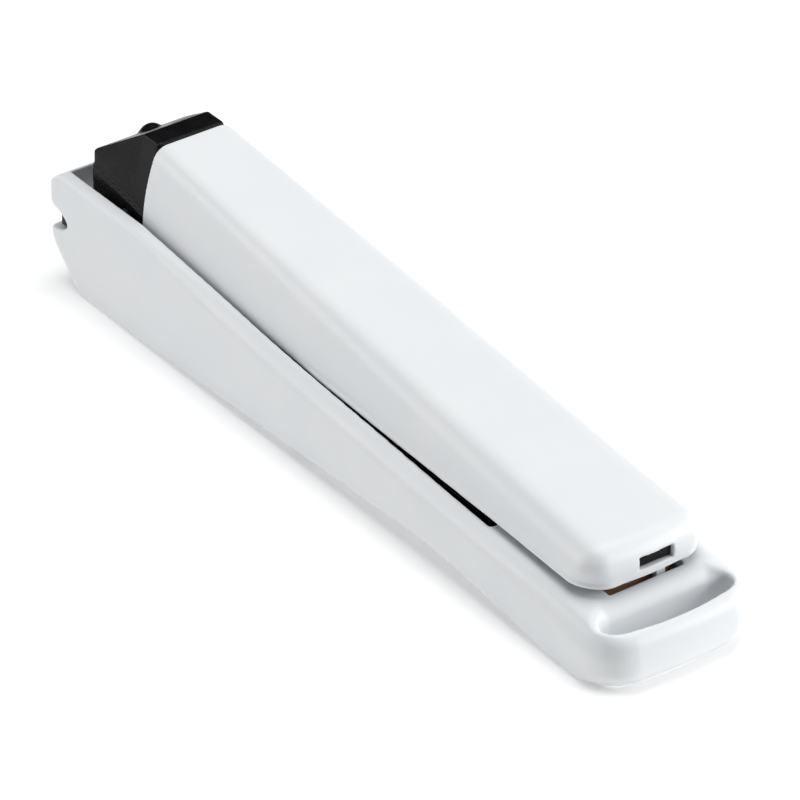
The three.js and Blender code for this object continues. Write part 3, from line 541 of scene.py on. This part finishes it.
def bay():
    """Side outline of the room for the cells and, in front of them, the heater."""
    door_edge, cover_edge = DOOR[0] - 0.3, COVER[1] + 0.3
    front, low, high = HEATER_BAY
    return [(door_edge, -3), (cover_edge, -3), (cover_edge, low), (front, low), (front, high),
            (CHANNEL_END, 12.9), (75, BAY_TOP), (BAY_START, BAY_TOP), (BAY_START, BAY_FLOOR),
            (door_edge, BAY_FLOOR)]


def rim_edge(x):
    """How far the rim's slope drops and sets in, and how soft it is: sharp behind, round in front."""
    drop = 0.7 + ease(x, 25, 65, 0, 1.6) + ease(x, 150, 180, 0, 0.5) - ease(x, 180, 187, 0, 1.0)
    inset = 0.7 + ease(x, 25, 65, 0, 1.7) + ease(x, 150, 180, 0, 0.4) - ease(x, 180, 187, 0, 1.2)
    soft = 0.5 + ease(x, 25, 65, 0, 0.4) + ease(x, 150, 184, 0, 1.6)
    return drop, inset, soft


def base_outside(block):
    """The base before it is hollowed: soft rim, cut heel, arched underside and round toe."""
    x, z = block.x, block.z
    wall = block.plan(base_plan())
    top = (z - rim_line(x)) / np.hypot(1, slope_of(rim_line, x))
    bottom = (under_line(x) - z) / np.hypot(1, slope_of(under_line, x))
    heel = (HEEL - x - z) / math.sqrt(2)
    lower = chamfered(bottom, wall, 2.6, 0.35, 0.5)
    lower = np.maximum(lower, meet(bottom, wall, ease(x, 176, 187, 0.3, TOE_RADIUS)))
    lower = meet(lower, heel, 4.5)
    body = chamfered(top, lower, *rim_edge(x))
    back_fall = (z - FLAT_RIM) * CHANNEL_START - (x - CHANNEL_START) * BACK_DROP
    return meet(body, back_fall / math.hypot(CHANNEL_START, BACK_DROP), 0.7)


def hollowed(body, block):
    """The base with the arm's channel, the bay, the heater slot, the loop and the notch cut out."""
    x, z, away = block.x, block.z, block.away
    channel_half = CHANNEL_HALF_REAR + (CHANNEL_HALF_FRONT - CHANNEL_HALF_REAR) * x / CHANNEL_END
    channel = meet(np.maximum(CHANNEL_START - x, x - CHANNEL_END), away - channel_half, 0.8)
    channel_floor = np.where(x < BAY_START, 18.2 - z, 8 - z)
    body = carve(body, meet(channel, channel_floor), 0.35)
    body = carve(body, meet(block.side(bay()), away - BAY_HALF))
    body = carve(body, block.box(SLOT[0], SLOT[1], -SLOT[2], SLOT[2], 5, 30), 0.35)
    body = carve(body, block.box(*NOTCH_WINDOW))
    roll = ease(x, LOOP_REAR, LOOP_REAR + 4.6, 4.4, 0.6)
    roll = roll * ease(away, 11.5, LOOP_HALF + 0.5, 1, 0.5) * ease(z, 3, 7, 0.15, 1)
    body = carve(body, block.plan(loop_hole()), roll)
    body = carve(body, block.side(rear_notch()), 0.4)
    return carve(body, block.crosswise(*HINGE, PIN_RADIUS + 0.3, -16.1, 16.1))


def base_shell():
    block = Block((0, -HALF_FRONT, 0), (LENGTH, HALF_FRONT, FLAT_RIM), 0.34)
    body = hollowed(base_outside(block), block)
    (rear_x, _), (front_x, front_y) = SCREW_SPOTS
    rear_foot, front_foot = under_height(rear_x) + POST_LIFT, under_height(front_x) + POST_LIFT
    for way, (near, far) in zip((-1, 1), both_ways(8.4, 15.6)):
        body = fuse(body, block.box(rear_x - 3, rear_x + 3, near, far, rear_foot, 9.2), 0.3)
        body = fuse(body, block.upright(front_x, way * front_y, 3, front_foot, 13), 0.3)
        for x, y in SCREW_SPOTS:
            body = carve(body, block.upright(x, way * y, PILOT_RADIUS, 0, 9))
    return mesh_piece("base_moulding", block, body, 0.3, white)


def under_plate(block, start, end, thickness, lift, bottom):
    """Slab that follows the underside, lifted, and never lower than bottom."""
    x, z = block.x, block.z
    low = np.maximum(under_line(x) + lift, bottom)
    high = under_line(x) + lift + thickness
    slab = np.maximum(low - z, z - high)
    edges = np.broadcast_arrays(start - x, x - end, block.away - UNDER_HALF)
    return meet(slab, np.maximum.reduce(edges), 0.3)


def bottom_cover():
    block = Block((COVER[0], -UNDER_HALF, 0), (COVER[1], UNDER_HALF, 8.5), 0.4)
    plate = under_plate(block, *COVER, COVER_THICKNESS, 0.0, 0.0)
    for x, y in SCREW_SPOTS:
        z = under_height(x)
        for way in (-1, 1):
            plate = fuse(plate, block.upright(x, way * y, 3.2, z + 0.6, z + 2.9), 0.3)
            plate = carve(plate, block.upright(x, way * y, 2.6, z - 2, z + 1.5), 0.3)
            plate = carve(plate, block.upright(x, way * y, PILOT_RADIUS, z - 2, z + 4))
    return mesh_piece("bottom_cover_moulding", block, plate, 0.4, white_inside)


def battery_door():
    block = Block((11.5, -UNDER_HALF, 0), (73, UNDER_HALF, 5.6), 0.35)
    x, y, z = block.x, block.y, block.z
    start, end = DOOR
    plate = under_plate(block, start, end, DOOR_THICKNESS, DOOR_LIFT, DOOR_LIFT)
    plate = fuse(plate, block.box(start + 0.2, start + 1.4, -3, 3, 1, 4.6))
    plate = fuse(plate, block.box(start - 1.6, start + 1.4, -3, 3, 3.4, 4.6))
    tab = under_height(end) + DOOR_LIFT + DOOR_THICKNESS
    for near, far in both_ways(6, 11):
        plate = fuse(plate, block.box(end - 4, end + 2.6, near, far, tab + 0.1, tab + 1.3))
        plate = fuse(plate, block.box(end - 4, end - 2, near, far, tab - 1, tab + 1))
    for ridge in range(3):
        middle = start + 4.2 + 2.2 * ridge
        groove = np.hypot(x - middle, z - DOOR_LIFT) - 0.6
        plate = carve(plate, meet(groove, np.abs(y) - 7 + ridge), 0.2)
    return mesh_piece("battery_door_moulding", block, plate, 0.4, white_inside)


# ---------------------------------------------------------------- arm shapes

def arm_top(x):
    return ARM_TOP_REAR - (x - ARM_REAR) * ARM_TOP_SLOPE


def arm_bottom(x):
    xs, zs = np.array(ARM_BOTTOM_POINTS).T
    return np.interp(x, xs, zs)


def along_arm(x, rear, nose):
    """Value at x that runs evenly from the cover's rear to its front."""
    return rear + (nose - rear) * (x - ARM_REAR) / (ARM_FRONT - ARM_REAR)


def cover_side(block):
    """Distance to the cover's barrelled sides and its soft-cornered nose."""
    x, z, away = block.x, block.z, block.away
    height = (z - arm_bottom(x)) / (arm_top(x) - arm_bottom(x))
    height = np.clip(height, 0, 1.2)
    low_half, high_half = along_arm(x, *COVER_HALF_LOW), along_arm(x, *COVER_HALF_HIGH)
    half = low_half - (low_half - high_half) * height**2
    lean = 2 * (low_half - high_half) * height / (arm_top(x) - arm_bottom(x))
    sides = (away - half) / np.sqrt(1 + lean**2)
    front = x - NOSE + away**2 / 150 + NOSE_LEAN * (21 - z)
    corner = ease(z, 16, 21, 6.2, 4.8)
    return meet(sides, front / math.hypot(1, NOSE_LEAN), corner)


def arm_cover():
    block = Block((ARM_REAR, -15.2, 15.6), (NOSE, 15.2, ARM_TOP_REAR), 0.3)
    x, z, away = block.x, block.z, block.away
    lid = (z - arm_top(x)) / math.hypot(1, ARM_TOP_SLOPE)
    wall = cover_side(block)
    drop = ease(x, ARM_REAR, ARM_FRONT, 1.3, 3.0)
    soft = ease(x, ARM_REAR, ARM_FRONT, 0.7, 1.3)
    skin = chamfered(lid, wall, drop, drop, soft)
    above_lip = z - arm_bottom(x) - LIP_HEIGHT
    lip = ease(above_lip, -0.15, 0.15, 1, 0) * ease(x, 80, 92, 0, 1)
    lip = lip * np.maximum(ease(x, 174, 177, 1, 0), ease(away, 6, 10, 0, 1))
    outer = skin - LIP_STEP * lip
    outer = meet(outer, arm_bottom(x) - z, 0.4)
    outer = meet(outer, ARM_REAR - x, 0.35)
    shell = carve(outer, skin + ARM_WALL, 0.2)
    for spot in ARM_SCREWS:
        boss = block.upright(spot, 0, 2.8, arm_top(spot) - 4.4, arm_top(spot) - 0.8)
        shell = fuse(shell, boss, 0.4)
        shell = carve(shell, block.upright(spot, 0, PILOT_RADIUS, 10, arm_top(spot) - 1.1))
    shell = carve(shell, block.box(NOSE - 4, NOSE + 3, *WINDOW), 0.12)
    return mesh_piece("arm_cover_moulding", block, shell, 0.25, white)


def frame_top(x):
    return arm_top(x) - 5


def head_roof(block):
    """Distance to the head's sloping roof and the flat crest in front of it."""
    rise = (HEAD_CREST - HEAD_EDGE) / (HEAD_SLOPE_END - HEAD_REAR)
    slope = (block.z - HEAD_EDGE - rise * (block.x - HEAD_REAR)) / math.hypot(1, rise)
    return np.maximum(slope, block.z - HEAD_CREST)


def hinge_head(block):
    """Hollow head over the pin, its sides leaning in above a crease."""
    x, z, away = block.x, block.z, block.away
    head_end = ARM_REAR - 0.3
    t = np.clip((x - HEAD_REAR) / (HEAD_SLOPE_END - HEAD_REAR), 0, 1)
    crease = 29.6 - 4 * (x - HEAD_REAR) / (ARM_REAR - HEAD_REAR)
    top = HEAD_EDGE + (HEAD_CREST - HEAD_EDGE) * t
    half_top = HEAD_HALF - HEAD_PULL_IN * t
    lean = (HEAD_HALF - half_top) / np.maximum(top - crease, 1)
    facet = (away - FACET_HALF + lean * (z - crease)) / np.sqrt(1 + lean**2)
    skirts = meet(away - HEAD_HALF, z - crease, 0.35)
    cheeks = fuse(skirts, meet(away - FACET_HALF, facet), 0.1)
    roof = head_roof(block)
    ends = meet(HEAD_REAR - x, x - head_end)
    outside = meet(meet(roof, cheeks, 0.5), ends, 0.4)
    head = meet(outside, SKIRT_BOTTOM - z, 0.3)
    hollow_ends = np.maximum(HEAD_REAR + FRAME_WALL - x, x - head_end + 1.5)
    return carve(head, np.maximum(meet(roof, cheeks) + FRAME_WALL, hollow_ends))


def arm_channel(block):
    """Upturned channel that fills the cover from the head to the end of the base's channel."""
    x, z = block.x, block.z
    half_low = along_arm(x, *FRAME_HALF_LOW) - 1.85
    half_high = along_arm(x, *FRAME_HALF_HIGH) - 1.2
    shoulder, roof_z = arm_bottom(x) + 1.9, frame_top(x)
    t = np.clip((z - shoulder) / (roof_z - shoulder), 0, 1)
    sides = block.away - (half_low + (half_high - half_low) * t)
    skirt = np.interp(x, [70, 76], [0, 1]) * (arm_bottom(x) - 3 - SKIRT_BOTTOM) + SKIRT_BOTTOM
    spine = meet(meet(sides, z - roof_z, 0.4), np.maximum(ARM_REAR - 1 - x, x - FRAME_END))
    hollow_ends = np.maximum(ARM_REAR - x, x - FRAME_END + FRAME_WALL)
    hollow = np.maximum(np.maximum(sides, z - roof_z) + FRAME_WALL, hollow_ends)
    return carve(np.maximum(spine, skirt - z), hollow)


def head_boss(block):
    """Small round boss with a domed top, on the head's roof."""
    x, y, z = block.x, block.y, block.z
    middle, top = BOSS
    dome = np.sqrt((x - middle) ** 2 + y**2 + ((z - 31.4) * 0.72) ** 2) - 3.6
    post = meet(meet(np.hypot(x - middle, y) - 3.4, z - top, 0.9), 31 - z)
    return np.maximum(post, np.maximum(dome, 31 - z))


def nose_beam(block):
    """Bar from the channel to the nose, which holds the pad and the snap tab."""
    x, z = block.x, block.z
    tip = np.minimum(frame_top(FRAME_END), arm_top(x) - 2.3)
    beam = meet(block.away - 8.6, np.maximum(18.3 - z, z - tip), 0.4)
    return np.maximum(beam, np.maximum(FRAME_END - 2 - x, x - NOSE + 3))


def arm_frame():
    block = Block((HEAD_REAR, -12.7, 14), (NOSE, 12.7, 41), 0.4)
    body = fuse(hinge_head(block), arm_channel(block))
    body = fuse(body, head_boss(block), 0.35)
    slit = meet(np.abs(block.x - 19.6) - 0.5, np.abs(block.y - 4.4) - 2.8, 0.3)
    body = carve(body, np.maximum(slit, -head_roof(block) - 0.9), 0.2)
    body = fuse(body, nose_beam(block))
    snap_tab = block.box(NOSE - 4, NOSE - 1.5, -3.4, 5.1, 18.0, 21.0)
    bridge_seat = block.box(135.4, 138.6, -10.5, 10.5, 16, 24)
    body = fuse(fuse(body, snap_tab), bridge_seat)
    for near, far in both_ways(8.6, 11.6):
        body = fuse(body, block.crosswise(*HINGE, 3.2, near, far))
    for near, far in both_ways(9.6, 11.6):
        body = fuse(body, block.box(HINGE[0] - 2, HINGE[0] + 2, near, far, HINGE[1], 27))
    body = carve(body, block.crosswise(*HINGE, PIN_RADIUS + 0.15, -20, 20))
    for spot in ARM_SCREWS:
        body = carve(body, block.upright(spot, 0, PILOT_RADIUS, 10, 50))
    return mesh_piece("arm_frame_moulding", block, body, 0.35, black)


# ---------------------------------------------------------------- assembly

def stand_for(piece, node, body):
    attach(piece, body)
    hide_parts(node)


def dress(node, material, rounding=0.0, smooth=False):
    """Gives a CAD node its finish, with its edges rounded or its faces smoothed."""
    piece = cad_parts[node]
    piece.data.materials.clear()
    piece.data.materials.append(material)
    if rounding:
        bevel = piece.modifiers.new("edges", "BEVEL")
        bevel.width = rounding * MM
        bevel.segments = 2
        bevel.limit_method = "ANGLE"
        bevel.angle_limit = math.radians(35)
    smooth_all(piece)
    if smooth:
        split = piece.modifiers.new("creases", "EDGE_SPLIT")
        split.split_angle = math.radians(35)
    else:
        weigh_normals(piece)


stand_for(base_shell(), "base_shell", "base")
stand_for(bottom_cover(), "bottom_cover", "base")
stand_for(battery_door(), "battery_door", "door")
stand_for(arm_cover(), "arm_cover", "arm")
stand_for(arm_frame(), "arm_frame", "arm")

dress("inner_tray", black, 0.15)
for cell, cap in (("battery_cell_a", 0.02), ("battery_cell_b", -0.02)):
    dress(cell, cell_wrap(cell + "_wrap", cell, cap), 0.1)
for node in ("contact_negative", "contact_positive", "contact_link"):
    dress(node, steel, 0.08)
for node in ("battery_spring_a", "battery_spring_b", "return_spring"):
    dress(node, spring_steel, smooth=True)
dress("heater_block", phenolic, 0.2)
dress("heater_strip", nichrome, 0.04)
dress("heater_tape", woven_tape(), 0.03)
for node in ("heater_terminal_left", "heater_terminal_right", "switch_leaf_left", "switch_leaf_right"):
    dress(node, brass, 0.06)
dress("contact_bridge", brass, 0.08)
dress("wire_positive", red_wire, smooth=True)
dress("wire_negative", black_wire, smooth=True)
dress("wire_heater", black_wire, smooth=True)
# The pin's dark finish is painted shade: plain steel made as dark as it looks in the shade of the head
# and walls.
dress("hinge_pin", painted_shade_steel, 0.15)
for node in sorted(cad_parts):
    if "_screw_" in node:
        dress(node, steel, 0.08)
dress("pad_holder", white_inside, 0.1)
dress("press_pad", silicone, 0.15)
dress("stop_hook", white_inside, 0.15)

# ---------------------------------------------------------------- stage

REACH = 6.0
FLOOR_GAP = 0.00005
corners = [(-REACH, -REACH, 0), (REACH, -REACH, 0), (REACH, REACH, 0), (-REACH, REACH, 0)]
floor_mesh = bpy.data.meshes.new("floor")
floor_mesh.from_pydata(corners, [], [(0, 1, 2, 3)])
floor = bpy.data.objects.new("floor", floor_mesh)
floor.location.z = CAD_LOW.z - FLOOR_GAP
bpy.context.scene.collection.objects.link(floor)
floor_look = finish("floor_paper", (0.93, 0.93, 0.93), (0.95, 0.95, 0.95), (0.8, 0.9), 3, 200, 1e-6)
floor_mesh.materials.append(floor_look)
floor_shader = floor_look.node_tree.nodes["Principled BSDF"]
floor_shader.inputs["Emission Color"].default_value = (1, 1, 1, 1)
floor_shader.inputs["Emission Strength"].default_value = 0.2

CENTRE = (CAD_LOW + CAD_HIGH) / 2


def direction(azimuth, elevation):
    """Unit vector from the object towards a place seen at that azimuth and elevation."""
    a, e = math.radians(azimuth), math.radians(elevation)
    return Vector((math.sin(a) * math.cos(e), -math.cos(a) * math.cos(e), math.sin(e)))


def softbox(name, azimuth, elevation, distance, width, height, power):
    """Rectangular lamp that faces the object; metres, degrees and watts."""
    lamp = bpy.data.lights.new(name, "AREA")
    lamp.shape = "RECTANGLE"
    lamp.size = width
    lamp.size_y = height
    lamp.energy = power
    holder = bpy.data.objects.new(name, lamp)
    out = direction(azimuth, elevation)
    holder.location = CENTRE + out * distance
    holder.rotation_euler = out.to_track_quat("Z", "Y").to_euler()
    bpy.context.scene.collection.objects.link(holder)


softbox("overhead", 234, 84, 1.1, 0.9, 0.9, 10.6)
softbox("left", -42, 20, 1.2, 0.9, 0.6, 4.8)
softbox("right", 140, 20, 1.2, 0.8, 0.6, 11.0)

world = bpy.data.worlds.new("studio")
bpy.context.scene.world = world
world.use_nodes = True
world.node_tree.nodes["Background"].inputs["Color"].default_value = (1, 1, 1, 1)
world.node_tree.nodes["Background"].inputs["Strength"].default_value = 0.02
bpy.context.scene.view_settings.view_transform = "Standard"

AIM = CENTRE + Vector((3.887, 0, -6.782)) * MM
TOWARDS_CAMERA = direction(53.673, 32.582)
CAMERA_DISTANCE = 1.2
camera_data = bpy.data.cameras.new("camera")
camera_data.sensor_width = 36
camera_data.lens = 276.7
camera = bpy.data.objects.new("camera", camera_data)
camera.location = AIM + TOWARDS_CAMERA * CAMERA_DISTANCE
camera.rotation_euler = TOWARDS_CAMERA.to_track_quat("Z", "Y").to_euler()
bpy.context.scene.collection.objects.link(camera)
bpy.context.scene.camera = camera
